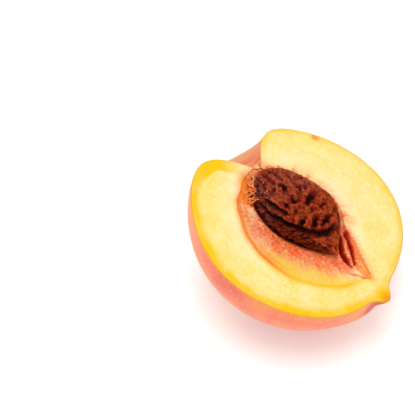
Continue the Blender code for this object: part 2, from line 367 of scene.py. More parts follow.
def fibre_relief(angle, distance):
    around = Vector((cos(angle), sin(angle), 0.0)) * FIBRES_ROUND
    coarse = noise.noise(around + Vector((0.0, 0.0, distance * FIBRE_CHANGE_OUTWARDS)))
    fine_place = around * FINE_FIBRES_ROUND + Vector((3.0, 0.0, distance * FINE_FIBRE_CHANGE_OUTWARDS))
    return COARSE_SHARE * (1.0 - 2.0 * abs(coarse)) + (1.0 - COARSE_SHARE) * noise.noise(fine_place)


def knife_wave(x, y):
    along = sin(2.0 * pi * x / KNIFE_WAVE_LENGTH + 0.6)
    across = cos(2.0 * pi * y / KNIFE_WAVE_LENGTH)
    rough = noise.fractal(Vector((x, y, 0.0)) * 0.35, 1.0, 2.0, 3)
    return KNIFE_WAVE_HEIGHT * along * across + KNIFE_ROUGHNESS * rough


print("relief 3 mm inside the ledge:", round(fibre_relief(-1.5, 18.0), 2))

# %% [markdown]
# ## The flesh
#
# The flesh could be cut out of a ball with Booleans, but then the relief would have no rows to
# follow. Instead one profile is spun into a half ball whose flat top has many rings, and then every
# vertex is moved. The rings inside `SEAT_SHARE` go under the stone, those up to `HOLLOW_SHARE` lie
# in the torn hollow, and the rest on the knife-cut face. The columns bunch up at the beak and at
# the stem, where the outline turns fastest.

# %% A half ball with a ringed top, spun from its profile
COLUMNS = 400
COLUMN_BUNCHING = 0.5
SEAT_SHARE = 0.12
HOLLOW_SHARE = 0.5
EDGE_SHARE = 0.975
LAST_RING_SHARE = 0.997
SEAT_RINGS = 8
HOLLOW_RINGS = 46
FACE_RINGS = 58
EDGE_RINGS = 6
BACK_DIPS = (0, 1, 2, 4, 6, 9, 13, 18, 24, 31, 39, 48, 58, 68, 78, 85)


def even_rings(start, end, count):
    return [start + (end - start) * number / count for number in range(1, count + 1)]


def turned(profile, columns):
    """Spins a profile of (radius, height) pairs, which starts and ends on the axis, into a closed body."""
    blank = bmesh.new()
    verts = [blank.verts.new((radius, 0.0, height)) for radius, height in profile]
    edges = [blank.edges.new(pair) for pair in zip(verts, verts[1:])]
    bmesh.ops.spin(
        blank, geom=verts + edges, cent=(0, 0, 0), axis=(0, 0, 1),
        angle=2.0 * pi, steps=columns, use_merge=True,
    )
    bmesh.ops.remove_doubles(blank, verts=blank.verts, dist=1e-6)
    bmesh.ops.recalc_face_normals(blank, faces=blank.faces)
    return blank


def bunched(turn):
    return turn - 0.5 * COLUMN_BUNCHING * sin(2.0 * turn)


def column_angle(vert):
    turn = round(atan2(vert.co.y, vert.co.x) * COLUMNS / (2.0 * pi)) * 2.0 * pi / COLUMNS
    return round(bunched(turn), 7)


top_rings = even_rings(0.0, SEAT_SHARE, SEAT_RINGS)
top_rings += even_rings(SEAT_SHARE, HOLLOW_SHARE, HOLLOW_RINGS)
top_rings += even_rings(HOLLOW_SHARE, EDGE_SHARE, FACE_RINGS)
top_rings += even_rings(EDGE_SHARE, LAST_RING_SHARE, EDGE_RINGS)
flesh_profile = [(0.0, 0.0)] + [(ring, 0.0) for ring in top_rings]
flesh_profile += [(cos(radians(dip)), -sin(radians(dip))) for dip in BACK_DIPS] + [(0.0, -1.0)]
flesh = turned(flesh_profile, COLUMNS)
print("blank for the flesh:", len(flesh.verts), "vertices")

# %% [markdown]
# ### Where the colours go
#
# A ripe peach colours from the outside in and from the stone out. Under the skin the flesh is
# golden, widest at the lower shoulder. Round the stone it is salmon to red, and the torn flesh
# between there and the ledge is paler. The ledge is an orange line that turns golden towards the
# beak, and orange fibres hold the stone's stem end. A picture could be painted on the face, but
# fields that are worked out from distances need no picture. Each colour gets a number from 0 to 1
# at every vertex: `near` fades it with a distance, and `window` keeps it to a stretch round the stone.

# %% Fades, lines and windows
INNER_FOLD_INWARDS = 3.6
BEAK_PLACE = Vector((37.2, 2.8))
STEM_NOTCH = Vector((-25.5, -0.5))
NICK_PLACE = Vector((-26.0, 28.0))
GOLDEN_STRIP = ((17.5, 5.6, 0.9), (21.8, 3.4, 1.1), (27.0, 2.6, 0.9))

# Each stretch is a middle, a half width and a fade, in degrees round the stone.
SHOULDER = (-154.0, 4.0, 11.0)
GOLDEN_LEDGE = (-38.0, 28.0, 24.0)
GOLDEN_HOLLOW = (-42.0, 24.0, 26.0)
ORANGE_LEDGE = (-112.0, 40.0, 32.0)
ORANGE_FOLD = (-112.0, 40.0, 30.0)
ORANGE_PATCH = (-150.0, 9.0, 15.0)
ORANGE_STEM_FIBRES = (-178.0, 20.0, 20.0)
RED_HOLLOW = (-50.0, 46.0, 28.0)
RED_FAR_SEAT = (60.0, 70.0, 35.0)
PINK_HOLLOW = (-55.0, 60.0, 34.0)
PINK_FAR_SIDE = (62.0, 60.0, 40.0)
CREAM_LEDGE = (-138.0, 45.0, 35.0)
CREAM_FAR_SIDE = (75.0, 70.0, 40.0)


def window(angle, middle, half_width, fade):
    """One on a stretch round the stone, easing to nothing over its fade."""
    away = abs((degrees(angle) - middle + 180.0) % 360.0 - 180.0)
    return smooth_step(half_width + fade, half_width, away)


def near(distance, full, gone, strength=1.0):
    """The strength up to the distance `full`, easing to nothing at the distance `gone`."""
    return strength * smooth_step(gone, full, distance)


def line(distance, half_width, strength=1.0):
    """The strength on a line, fading to nothing about a half width away from it."""
    return strength * exp(-((distance / half_width) ** 2))


def torn_field(ledge_mm):
    return near(ledge_mm, full=-1.5, gone=0.4)


print("torn field 1 mm inside the ledge:", round(torn_field(-1.0), 2))

# %% Gold and orange
GOLD_FAR_SIDE = 2.4
GOLD_SUTURE_SIDE = 3.6
GOLD_WAVER = 0.35
SHOULDER_BAND = 5.4
SHOULDER_WAVER = 0.8
CRISP_GOLD = 0.75
FAR_SIDE_GOLD = 0.62
STEM_GOLD = 0.2


def gold_field(point, angle, rim_mm, ledge_mm, patchy):
    suture_side = near(point.y, full=-12.0, gone=8.0)
    shoulder = window(angle, *SHOULDER)
    band = mix(GOLD_FAR_SIDE, GOLD_SUTURE_SIDE, suture_side) * (1.0 + GOLD_WAVER * patchy)
    band = mix(band, SHOULDER_BAND + SHOULDER_WAVER * patchy, shoulder)
    gold = near(rim_mm, full=mix(0.3, 0.75, shoulder) * band, gone=band, strength=CRISP_GOLD)
    gold += near(rim_mm, full=0.5 * band, gone=2.4 * band, strength=1.0 - CRISP_GOLD)
    away_from_stem = smooth_step(4.0, 13.0, (point.xy - STEM_NOTCH).length)
    gold *= mix(FAR_SIDE_GOLD, 1.0, suture_side) * mix(STEM_GOLD, 1.0, away_from_stem)
    golden_ledge = line(ledge_mm + 0.6, half_width=1.7) * window(angle, *GOLDEN_LEDGE)
    beak = near((point.xy - BEAK_PLACE).length, full=3.5, gone=8.0)
    inside_ledge = near(ledge_mm, full=-2.0, gone=0.5, strength=0.75) * window(angle, *GOLDEN_HOLLOW)
    return max(gold, golden_ledge, beak, inside_ledge)


def orange_field(point, angle, stone_mm, ledge_mm):
    ledge_line = line(ledge_mm + 0.9, half_width=1.6) * window(angle, *ORANGE_LEDGE)
    fold_line = line(ledge_mm + INNER_FOLD_INWARDS - 0.5, half_width=0.9, strength=0.6)
    fold_line *= window(angle, *ORANGE_FOLD)
    stem_patch = near(stone_mm, full=2.5, gone=7.0) * window(angle, *ORANGE_PATCH)
    stem_fibres = near(stone_mm, full=0.5, gone=3.0, strength=0.6) * window(angle, *ORANGE_STEM_FIBRES)
    slit_gap, slit_width = path_gap(point.x, point.y, SLIT)
    slit = line(slit_gap, half_width=0.8 * slit_width, strength=0.7)
    strip_gap, strip_width = path_gap(point.x, point.y, GOLDEN_STRIP)
    strip = near(strip_gap / strip_width, full=0.7, gone=1.6, strength=0.75)
    beak = near((point.xy - BEAK_PLACE).length, full=0.8, gone=4.5, strength=0.8)
    nick = near((point.xy - NICK_PLACE).length, full=0.4, gone=2.4, strength=0.8)
    return max(ledge_line, fold_line, stem_patch, stem_fibres, slit, strip, beak, nick)


print("orange on the ledge:", round(orange_field(Vector((0.0, -24.0, 0.0)), radians(-100.0), 12.0, -0.9), 2))

# %% Red, pink and cream
RED_UNDER_STONE = 0.85
RED_WAVER = 2.4


def red_field(point, angle, stone_mm, patchy):
    """How red a place is, and its painted shade: only the bottoms of the two clefts are darkened."""
    under_stone = near(stone_mm + RED_WAVER * patchy, full=2.4, gone=7.5) * window(angle, *RED_HOLLOW)
    clefts = 0.0
    painted_cleft_shade = 0.0
    for path in (CLEFT, SECOND_CLEFT):
        gap, half_width = path_gap(point.x, point.y, path)
        inside = near(gap - half_width, full=0.1, gone=1.1)
        beside = near(gap, full=0.8, gone=2.2, strength=0.5)
        clefts = max(clefts, inside, beside)
        painted_cleft_shade = max(painted_cleft_shade, near(gap - half_width, full=-0.4, gone=0.5))
    crease_gap, _ = path_gap(point.x, point.y, CREASE)
    crease = line(crease_gap, half_width=0.45, strength=0.8)
    far_seat = near(stone_mm, full=0.3, gone=1.7, strength=0.7) * window(angle, *RED_FAR_SEAT)
    seat = near(stone_mm, full=0.2, gone=0.9, strength=0.8)
    return max(RED_UNDER_STONE * under_stone, far_seat, seat, clefts, crease), painted_cleft_shade


def pink_field(point, angle, stone_mm, ledge_mm):
    inside = torn_field(ledge_mm) * near(stone_mm, full=6.0, gone=11.0) * window(angle, *PINK_HOLLOW)
    far_side = near(stone_mm, full=0.0, gone=6.5, strength=0.8) * window(angle, *PINK_FAR_SIDE)
    cleft_gap, _ = path_gap(point.x, point.y, SECOND_CLEFT)
    beside_cleft = near(cleft_gap, full=1.2, gone=3.6, strength=0.9)
    slit_gap, _ = path_gap(point.x, point.y, SLIT)
    beside_slit = near(slit_gap, full=0.4, gone=2.8, strength=0.7) * near(point.x, full=24.0, gone=33.0)
    stem = near((point.xy - STEM_NOTCH).length, full=2.0, gone=6.5, strength=0.75)
    return max(inside, far_side, beside_cleft, beside_slit, stem)


def cream_field(point, angle, stone_mm, ledge_mm):
    suture_side = near(abs(ledge_mm), full=1.0, gone=10.0) * window(angle, *CREAM_LEDGE)
    far_side = near(stone_mm, full=3.0, gone=14.0, strength=0.7) * window(angle, *CREAM_FAR_SIDE)
    stem = near((point.xy - STEM_NOTCH).length, full=4.0, gone=12.0)
    return max(suture_side, far_side, stem)


print("cream at the stem:", cream_field(Vector((-26.0, 0.0, 0.0)), pi, 2.0, -3.0))

# %% All colours at one place
TONGUE_MM = 2.6
TONGUES_ROUND = 8.0


def colour_fields(point, angle, stone_mm, ledge_mm, rim_mm):
    """Distances are from the stone's edge, outwards from the ledge, and inwards from the skin."""
    patchy = noise.fractal(Vector((point.x, point.y, 7.0)) * 0.22, 1.0, 2.0, 3)
    around = Vector((cos(angle), sin(angle), 0.02 * stone_mm))
    tongues = TONGUE_MM * noise.fractal(around * TONGUES_ROUND, 0.8, 2.0, 3)
    red, painted_cleft_shade = red_field(point, angle, stone_mm + tongues, patchy)
    return {
        "gold": gold_field(point, angle, rim_mm, ledge_mm, patchy),
        "orange": orange_field(point, angle, stone_mm, ledge_mm),
        "red": red,
        "painted_cleft_shade": painted_cleft_shade,
        "pink": pink_field(point, angle, stone_mm + tongues, ledge_mm),
        "torn": torn_field(ledge_mm),
        "cream": cream_field(point, angle, stone_mm, ledge_mm),
    }


sample = colour_fields(Vector((0.0, -17.0, 0.0)), radians(-75.0), 1.0, -6.0, 20.0)
print("fields beside the stone:", {name: round(value, 2) for name, value in sample.items()})

# %% [markdown]
# ### Heights of the cut face
#
# From the skin inwards the face is the knife's clean wave, rolled over at its edge. At the ledge it
# steps down, and then the torn hollow sinks towards the stone in a smooth curve, with one faint
# fold in it. Fibres, crumbs and the four cuts are added on top. Every vertex keeps its column and its
# ring, so the ledge and the stone's edge stay sharp rows of vertices.

# %% Place a point of the cut face
HOLLOW_STEP = 0.8
HOLLOW_STEP_WIDTH = 0.45
HOLLOW_CURVE = 1.5
INNER_FOLD_HEIGHT = 0.12
INNER_FOLD_HALF_WIDTH = 0.8
INNER_FOLD_STRETCH = (-100.0, 45.0, 25.0)
FIBRE_HEIGHT = 0.42
CRUMB_HEIGHT = 0.7
CREVICE_TINT_STRETCH = (-142.0, 18.0, 22.0)
KNIFE_WAVE_FROM_RIM = 6.0
EDGE_ROLL = 0.35
EDGE_DROP = 0.14


def hollow_height(angle, inside, climb, floor):
    """Height in the torn hollow, inside the ledge. Climb is 0 at the stone and 1 at the ledge."""
    height = -HOLLOW_STEP * smooth_step(0.0, HOLLOW_STEP_WIDTH, inside)
    height -= (floor - HOLLOW_STEP) * cos(0.5 * pi * climb) ** HOLLOW_CURVE
    past_fold = smooth_step(-INNER_FOLD_HALF_WIDTH, INNER_FOLD_HALF_WIDTH, inside - INNER_FOLD_INWARDS)
    fold = window(angle, *INNER_FOLD_STRETCH) * past_fold
    return height - INNER_FOLD_HEIGHT * fold


def place_on_face(share, angle):
    """A point before its relief, and its distances outwards from the stone and from the ledge."""
    keel, ledge, rim, floor = spoke(angle)
    hollow_width = (ledge - keel).length
    if share <= SEAT_SHARE:
        point = STONE_CENTRE.lerp(keel, share / SEAT_SHARE)
        point.z = -max(floor, stone_underside(point.x, point.y) + STONE_GAP)
        return point, 0.0, -hollow_width
    if share <= HOLLOW_SHARE:
        climb = (share - SEAT_SHARE) / (HOLLOW_SHARE - SEAT_SHARE)
        point = keel.lerp(ledge, climb)
        stone_mm = hollow_width * climb
        ledge_mm = stone_mm - hollow_width
        point.z = hollow_height(angle, -ledge_mm, climb, floor)
        return point, stone_mm, ledge_mm
    point = ledge.lerp(rim, (share - HOLLOW_SHARE) / (1.0 - HOLLOW_SHARE))
    ledge_mm = (point - ledge).length
    return point, hollow_width + ledge_mm, ledge_mm


def cuts_below(x, y):
    depth = CLEFT_DEPTH * inside_cut(x, y, CLEFT)
    depth = max(depth, SECOND_CLEFT_DEPTH * inside_cut(x, y, SECOND_CLEFT))
    depth = max(depth, SLIT_DEPTH * inside_cut(x, y, SLIT))
    return max(depth, CREASE_DEPTH * inside_cut(x, y, CREASE))


def roughen(point, angle, stone_mm, ledge_mm):
    """Adds fibres, crumbs and cuts to a point; returns its share of the painted crevice tint."""
    fibres = near(ledge_mm, full=-1.6, gone=1.2) * smooth_step(0.0, 0.8, stone_mm + 0.3)
    ridges = fibre_relief(angle, stone_mm)
    crumbs = noise.fractal(Vector((point.x, point.y, 3.0)) * 0.7, 1.0, 2.0, 4)
    point.z += FIBRE_HEIGHT * fibres * ridges
    point.z += CRUMB_HEIGHT * crumbs * fibres * near(stone_mm, full=2.0, gone=7.0)
    point.z -= cuts_below(point.x, point.y)
    coloured = max(near(stone_mm, full=3.0, gone=6.5), window(angle, *CREVICE_TINT_STRETCH))
    return fibres * coloured * near(ridges, full=-0.05, gone=0.28)


def face_point(share, angle, outline):
    """A point of the cut face, its colour fields and its distance inside the skin.

    Share is 0 under the middle of the stone and 1 at the skin.
    """
    point, stone_mm, ledge_mm = place_on_face(share, angle)
    _, _, rim_mm = outline.find(Vector((point.x, point.y, 0.0)))
    if share > HOLLOW_SHARE:
        point.z = knife_wave(point.x, point.y) * smooth_step(0.0, KNIFE_WAVE_FROM_RIM, rim_mm)
        point.z -= EDGE_DROP * (1.0 - min(1.0, rim_mm / EDGE_ROLL)) ** 2
    fields = colour_fields(point, angle, stone_mm, ledge_mm, rim_mm)
    # The painted crevice tint, an orange for light scattered in crevices, is full under the stone.
    fields["painted_crevice_tint"] = 1.0
    if share > SEAT_SHARE:
        fields["painted_crevice_tint"] = roughen(point, angle, stone_mm, ledge_mm)
    return point, fields, rim_mm


print("deepest cut, mm:", round(cuts_below(14.6, 2.5), 1))

# %% Place every vertex of the flesh
FIELD_NAMES = ("gold", "orange", "red", "painted_cleft_shade", "pink", "torn", "cream", "painted_crevice_tint")
RIM_SAMPLES = 1440
SKIN_OVERLAP = 0.02
GRAIN_OUTWARDS = 0.035
SWIRL_SIZE = 0.5
SWIRL_INWARDS = 0.1
TINY = 1e-6


def outline_tree():
    """A tree of points on the cut outline, to ask how far inside the skin a point is."""
    tree = KDTree(RIM_SAMPLES)
    for number in range(RIM_SAMPLES):
        angle = 2.0 * pi * number / RIM_SAMPLES
        direction = Vector((cos(angle), sin(angle), 0.0))
        tree.insert(direction * (skin_radius(direction) - SKIN_THICKNESS), number)
    tree.balance()
    return tree


def outwards_at(turn, across, height):
    """The direction out of the fruit for a place on a blank, whose lowest point goes straight down."""
    level = Vector((cos(turn), sin(turn), 0.0)) * across
    return (level - down_in_cut * height).normalized()


outline = outline_tree()
layers = {name: flesh.verts.layers.float.new(name) for name in FIELD_NAMES}
grain = flesh.verts.layers.float_vector.new("grain")
swirl = flesh.verts.layers.float_vector.new("swirl")
for vert in flesh.verts:
    across = hypot(vert.co.x, vert.co.y)
    angle = column_angle(vert)
    on_top = vert.co.z > -TINY
    if on_top and across < 1.0 - TINY:
        vert.co, fields, rim_mm = face_point(round(across, 6), angle, outline)
        vert[swirl] = Vector((SWIRL_SIZE * cos(angle), SWIRL_SIZE * sin(angle), SWIRL_INWARDS * rim_mm))
        for name, value in fields.items():
            vert[layers[name]] = value
    else:
        direction = outwards_at(angle, across, vert.co.z)
        vert.co = direction * (skin_radius(direction) - SKIN_THICKNESS + SKIN_OVERLAP * (not on_top))
        vert.co.z -= EDGE_DROP * on_top
        vert[layers["gold"]] = 1.0
    distance = (vert.co - STONE_CENTRE).length
    vert[grain] = Vector((cos(angle), sin(angle), GRAIN_OUTWARDS * distance))
seat_low = min(vert.co.z for vert in flesh.verts if vert.co.xy.length < 6.0)
print("deepest flesh under the stone, mm:", round(seat_low, 1))

# %% [markdown]
# ## The skin
#
# The skin could be a second material on the flesh, but a thin shell of its own gives a crisp edge at
# the cut and takes its own finish slot. The same spin makes it: its profile runs down the outside
# and back up the inside, so the shell is closed. Its underside is flattened where the half lies.
# Fields mark the cavity at the stem, the beak, the depth below the cut and the cut edge itself.

# %% Spin the shell and move it to the skin
SKIN_COLUMNS = 300
SKIN_FIELDS = ("cavity", "beak", "below", "cut_edge")
INNER_LAYER = 0.9
BETWEEN_LAYERS = 0.95
SKIN_BELOW_CUT = 0.04
CUT_EDGE_WIDTH = 1.1
FOLDS_ROUND_CAVITY = 9.0
FOLD_CHANGE = 0.08
skin_dips = [0, 0.4, 1, 2, 3.5, 5, 7] + [7 + 2.2 * step for step in range(1, 37)]
skin_profile = [(0.0, -1.0)] + [(cos(radians(dip)), -sin(radians(dip))) for dip in reversed(skin_dips)]
skin_profile += [(r * INNER_LAYER, h * INNER_LAYER) for r, h in reversed(skin_profile)]
skin = turned(skin_profile, SKIN_COLUMNS)
skin_fields = {name: skin.verts.layers.float.new(name) for name in SKIN_FIELDS}
folds = skin.verts.layers.float_vector.new("folds")
for vert in skin.verts:
    thickness = SKIN_THICKNESS if vert.co.length < BETWEEN_LAYERS else 0.0
    reach = vert.co.normalized()
    direction = outwards_at(bunched(atan2(reach.y, reach.x)), reach.xy.length, reach.z)
    on_rim = reach.z > -1e-4
    vert.co = direction * (skin_radius(direction) - thickness)
    vert.co.z -= EDGE_DROP * on_rim + SKIN_BELOW_CUT
    cavity = bump(direction, CAVITY_ANGLE, CAVITY_WIDTHS, wider=1.3)
    vert[skin_fields["cavity"]] = cavity
    vert[skin_fields["beak"]] = bump(direction, BEAK_ANGLE, BEAK_WIDTHS, 6.0, 1.5)
    vert[skin_fields["below"]] = -direction.z
    vert[skin_fields["cut_edge"]] = smooth_step(CUT_EDGE_WIDTH, 0.0, -vert.co.z)
    vert[folds] = Vector((FOLDS_ROUND_CAVITY * cavity, FOLD_CHANGE * vert.co.y, FOLD_CHANGE * vert.co.z))
print("skin shell:", len(skin.verts), "vertices")

# %% [markdown]
# ### The flat spot
#
# A ripe half settles on a small flat spot. Cutting the skin off level would open the shell, so
# instead every vertex that would sink below the surface is lifted to it: the outside onto the
# surface, the inside just above it, and the flesh above that.

# %% Press the underside flat, and make the two pieces
floor_level = (cut_to_world.inverted() @ Vector((0.0, 0.0, cad_low.z))).dot(-down_in_cut)


def press_flat(mesh, clearance):
    lifted = 0
    for vert in mesh.verts:
        inner = vert.co.length < skin_radius(vert.co.normalized()) - 0.5 * SKIN_THICKNESS
        short = floor_level + (clearance if inner else 0.0) - vert.co.dot(-down_in_cut)
        if short > 0.0:
            vert.co -= down_in_cut * short
            lifted += 1
    return lifted


print("skin vertices pressed flat:", press_flat(skin, SKIN_THICKNESS))
print("flesh vertices pressed flat:", press_flat(flesh, SKIN_THICKNESS - SKIN_OVERLAP))
flesh_piece = lay_down(flesh, "cut_flesh")
skin_piece = lay_down(skin, "velvet_skin")

# %% [markdown]
# ## The stone
#
# A peach stone could be sculpted, but its relief is easier to steer as three kinds of depth that are
# laid over each other. Long furrows run beside the keel and curl round the tip. Large pits sit
# between them, drawn out along the stone at its stem end and across it near the tip. Small pits and
# a net of fine cracks, from a cell pattern, fill what is left. Blender's vector noise makes the
# edges ragged. It is shifted by a seed that comes from the clock unless it is set, so it is set here.

# %% Furrows, pits and cracks
# Each furrow is a path of (along from -1 to 1, degrees round) points, a half width and a depth in mm.
FURROWS = (
    (((-0.62, 176), (-0.42, 173), (-0.21, 168), (-0.05, 160), (0.12, 155), (0.26, 151), (0.40, 145),
      (0.54, 132), (0.62, 102), (0.60, 72)), 1.0, 2.2),
    (((-0.46, 152), (-0.28, 146), (-0.06, 143)), 0.8, 2.0),
    (((0.60, 72), (0.66, 50), (0.52, 36)), 0.7, 1.0),
    (((-0.70, 30), (-0.30, 27), (0.10, 31), (0.45, 38)), 0.9, 1.4),
    (((-0.92, 126), (-0.78, 118), (-0.62, 116)), 0.45, 1.0),
    (((-0.92, 96), (-0.74, 96), (-0.58, 98)), 0.45, 1.0),
    (((-0.90, 146), (-0.76, 140), (-0.62, 138)), 0.45, 0.9),
)
# Each pit is its place along and round, its length, width and lean in degrees, and its depth.
LARGE_PITS = (
    (0.00, 90, 3.9, 1.5, 71, 2.7), (-0.22, 75, 1.6, 0.9, 60, 1.8), (-0.27, 90, 2.1, 0.9, 28, 1.9),
    (-0.42, 109, 2.3, 1.0, 12, 2.1), (-0.50, 126, 1.1, 0.9, 10, 1.5), (-0.14, 114, 2.2, 1.0, 8, 2.0),
    (-0.16, 131, 2.1, 0.8, -6, 1.9), (0.05, 130, 1.3, 0.8, 30, 1.5), (0.24, 138, 2.0, 1.2, 70, 2.2),
    (0.37, 118, 2.6, 1.0, 63, 2.3), (0.44, 92, 3.2, 1.3, 80, 2.6), (0.21, 83, 1.7, 0.9, 75, 1.7),
    (0.20, 108, 1.5, 0.7, 70, 1.3), (-0.74, 160, 1.8, 1.0, 10, 1.9), (-0.55, 82, 1.8, 0.8, 10, 1.5),
    (-0.40, 62, 2.2, 0.8, 25, 1.5), (0.04, 54, 2.2, 0.8, 45, 1.5), (0.36, 58, 1.8, 0.8, 60, 1.4),
    (-0.36, 160, 1.5, 0.5, 5, 0.8), (0.13, 166, 2.0, 0.6, 5, 0.8), (0.42, 160, 1.6, 0.6, 5, 0.7),
)
PIT_RAGGEDNESS = 0.95
PIT_NARROWNESS = 0.8
PIT_WALL = (0.25, 1.35)
PIT_FARTHEST = 7.0
FURROW_WALL = (0.3, 1.7)
GIRTH_SHARE = 0.85
LEAST_GIRTH = 0.35
CELL_SIZE = (3.2, 2.2, 2.4)
CELL_WARP = 1.3
SMALL_PIT_WIDTH = 0.30
SMALL_PIT_DEPTH = 0.95
CRACK_WIDTH = 0.10
CRACK_DEPTH = 0.5
NOISE_SEED = 11
noise.seed_set(NOISE_SEED)


def stone_gap(along, turn_degrees, centre_along, centre_turn):
    """Distances along and round the stone, in mm, from a place on it."""
    breadth = max(LEAST_GIRTH, stone_breadth(along))
    round_mm = radians(turn_degrees - centre_turn) * GIRTH_SHARE * STONE_HALF_WIDTH * breadth
    return (along - centre_along) * STONE_HALF_LENGTH, round_mm


def furrow_field(along, turn, ragged):
    deepest = 0.0
    for path, half_width, depth in FURROWS:
        for (from_along, from_turn), (to_along, to_turn) in zip(path, path[1:]):
            start = Vector(stone_gap(along, turn, from_along, from_turn))
            run = start - Vector(stone_gap(along, turn, to_along, to_turn))
            share = min(1.0, max(0.0, start.dot(run) / run.length_squared))
            gap = (start + 0.5 * ragged - run * share).length
            deepest = max(deepest, depth * near(gap / half_width, *FURROW_WALL))
    return deepest


def pit_field(along, turn, ragged):
    deepest = 0.0
    for pit_along, pit_turn, length, width, lean_degrees, depth in LARGE_PITS:
        ahead, aside = stone_gap(along, turn, pit_along, pit_turn)
        if abs(ahead) > PIT_FARTHEST or abs(aside) > PIT_FARTHEST:
            continue
        ahead += ragged.x
        aside += ragged.y
        lean_angle = radians(lean_degrees)
        lengthways = (ahead * cos(lean_angle) + aside * sin(lean_angle)) / length
        sideways = (aside * cos(lean_angle) - ahead * sin(lean_angle)) / (PIT_NARROWNESS * width)
        deepest = max(deepest, depth * near(hypot(lengthways, sideways), *PIT_WALL))
    return deepest


def cell_field(point, along):
    """Small pits at the middles of cells and cracks on their borders. Cells turn across near the tip."""
    long_way, short_way, thick_way = CELL_SIZE
    across = smooth_step(-0.1, 0.4, along)
    stretch = Vector((mix(long_way, short_way, across), mix(short_way, long_way, across), thick_way))
    warp = noise.noise_vector(point * 0.28) * CELL_WARP
    place = Vector((part / size for part, size in zip(point + warp, stretch)))
    nearest, second_nearest = noise.voronoi(place)[0][:2]
    pit = line(nearest, SMALL_PIT_WIDTH)
    crack = line(second_nearest - nearest, CRACK_WIDTH) * smooth_step(-0.1, 0.35, noise.noise(place * 0.9))
    return SMALL_PIT_DEPTH * pit + CRACK_DEPTH * crack


print("depth in the main furrow, mm:", round(furrow_field(0.12, 155, Vector((0.0, 0.0))), 2))

# %% [markdown]
# ### Sinking the relief
#
# A ball is drawn out to the stone's smooth form, and then each of its points moves in towards the
# long axis by the deepest of the fields, with rough grain on top. Both flanks take the same
# furrows, since only one flank can be seen at a time. The pits fade out towards the keel, and a
# crumbly band beside the keel is sunk by coarse noise. Three fields go to the finish: how deep a
# point lies, which sets the painted shade in the pits, how high it stands on a ridge, which sets
# the painted highlights on the crests, and how near the tip it is.

# %% How deep a place on the stone is sunk
KEEL_CRUMBLE = 1.5
GRAIN_HEIGHT = 0.26
FIBRE_RIDGES = 0.3
LEAST_SUNK = 0.05
SECOND_FIELD_SHARE = 0.3
DEPTH_AT_KEEL = 0.25
PITS_FROM_KEEL = (2.0, 12.0)
CRUMBLY_BAND = (146.0, 156.0)
ROUGH_SCALE = (0.9, 1.6, 1.6)
FIBRE_SCALE = (0.45, 1.9, 1.9)
CRUMBLE_SCALE = (0.55, 1.0, 1.5)


def scaled(point, factors):
    return Vector((part * factor for part, factor in zip(point, factors)))


def sunk_depth(smooth, along, flank, crumbly):
    """Depth in mm below a point of the smooth form. Flank is in degrees from one keel to the other."""
    ragged = noise.noise_vector(smooth * 0.75).xy * PIT_RAGGEDNESS
    lines = max(furrow_field(along, flank, ragged), pit_field(along, flank, ragged))
    cells = cell_field(smooth, along)
    inland = smooth_step(*PITS_FROM_KEEL, min(flank, 180.0 - flank))
    ends = smooth_step(0.0, 0.12, 1.0 - abs(along))
    depth = max(lines, cells) + SECOND_FIELD_SHARE * min(lines, cells)
    depth *= mix(DEPTH_AT_KEEL, 1.0, inland) * ends
    crumble = noise.fractal(scaled(smooth, CRUMBLE_SCALE), 0.7, 2.0, 5)
    crumble = crumbly * smooth_step(-0.3, 0.45, crumble)
    depth += KEEL_CRUMBLE * ends * crumble
    rough = noise.fractal(scaled(smooth, ROUGH_SCALE), 1.0, 2.0, 5)
    fibres = abs(noise.noise(scaled(smooth, FIBRE_SCALE)))
    return depth + (GRAIN_HEIGHT * rough + FIBRE_RIDGES * smooth_step(0.0, 0.4, fibres) + LEAST_SUNK)


print("depth in the largest pit, mm:", round(sunk_depth(stone_point(0.0, pi / 2.0), 0.0, 90.0, 0.0), 2))

# %% Shape the stone
STONE_ROUND = 320
STONE_RINGS = 210
DEEPEST_SHARE = 0.45
INWARDS_ALONG = 0.15

stone = bmesh.new()
bmesh.ops.create_uvsphere(stone, u_segments=STONE_ROUND, v_segments=STONE_RINGS, radius=1.0)
bmesh.ops.rotate(stone, verts=stone.verts, cent=(0, 0, 0), matrix=Matrix.Rotation(pi / 2.0, 3, "Y"))
pit_shade_layer = stone.verts.layers.float.new("pit")
ridge_highlight_layer = stone.verts.layers.float.new("ridge")
end_layer = stone.verts.layers.float.new("towards_tip")


def shape_stone(vert):
    along = max(-1.0, min(1.0, vert.co.x))
    turn = atan2(vert.co.z, vert.co.y) % (2.0 * pi)
    flank = degrees(turn if turn <= pi else 2.0 * pi - turn)
    crumbly = smooth_step(*CRUMBLY_BAND, flank)
    smooth = stone_point(along, turn)
    depth = sunk_depth(smooth, along, flank, crumbly)
    inwards = Vector((INWARDS_ALONG * smooth.x, smooth.y - stone_bow(along), smooth.z))
    if inwards.length > TINY:
        smooth -= inwards.normalized() * min(depth, DEEPEST_SHARE * inwards.length)
    vert.co = STONE_CENTRE + smooth
    # Painted shade: the pit field darkens a place the deeper it is sunk, and a little on the crumbly band.
    vert[pit_shade_layer] = max(smooth_step(0.5, 2.3, depth), 0.25 * crumbly)
    # Painted highlight: the ridge field lightens the crests, less on the crumbly band.
    vert[ridge_highlight_layer] = near(depth, full=0.1, gone=0.6) * mix(1.0, 0.65, crumbly)
    vert[end_layer] = smooth_step(-0.9, 0.95, along)


for vert in stone.verts:
    shape_stone(vert)
bmesh.ops.recalc_face_normals(stone, faces=stone.faces)
stone_piece = lay_down(stone, "pitted_stone")

# %% [markdown]
# ## Torn strands
#
# Where the stone was held, strands of flesh stay behind. Each is a small tube: a circle that is
# extruded along a bent path and narrows to a tip. They reach from the hollow onto the stone's stem
# end: a few pale ones beside the stem, and more and deeper orange ones beside the orange patch. A
# curve with a bevel would make such a tube too, but extruding gives its ends their caps at once. A
# seeded generator scatters them, so they come out the same each time.

# %% A tapered tube along a path
STRAND_SIDES = 6


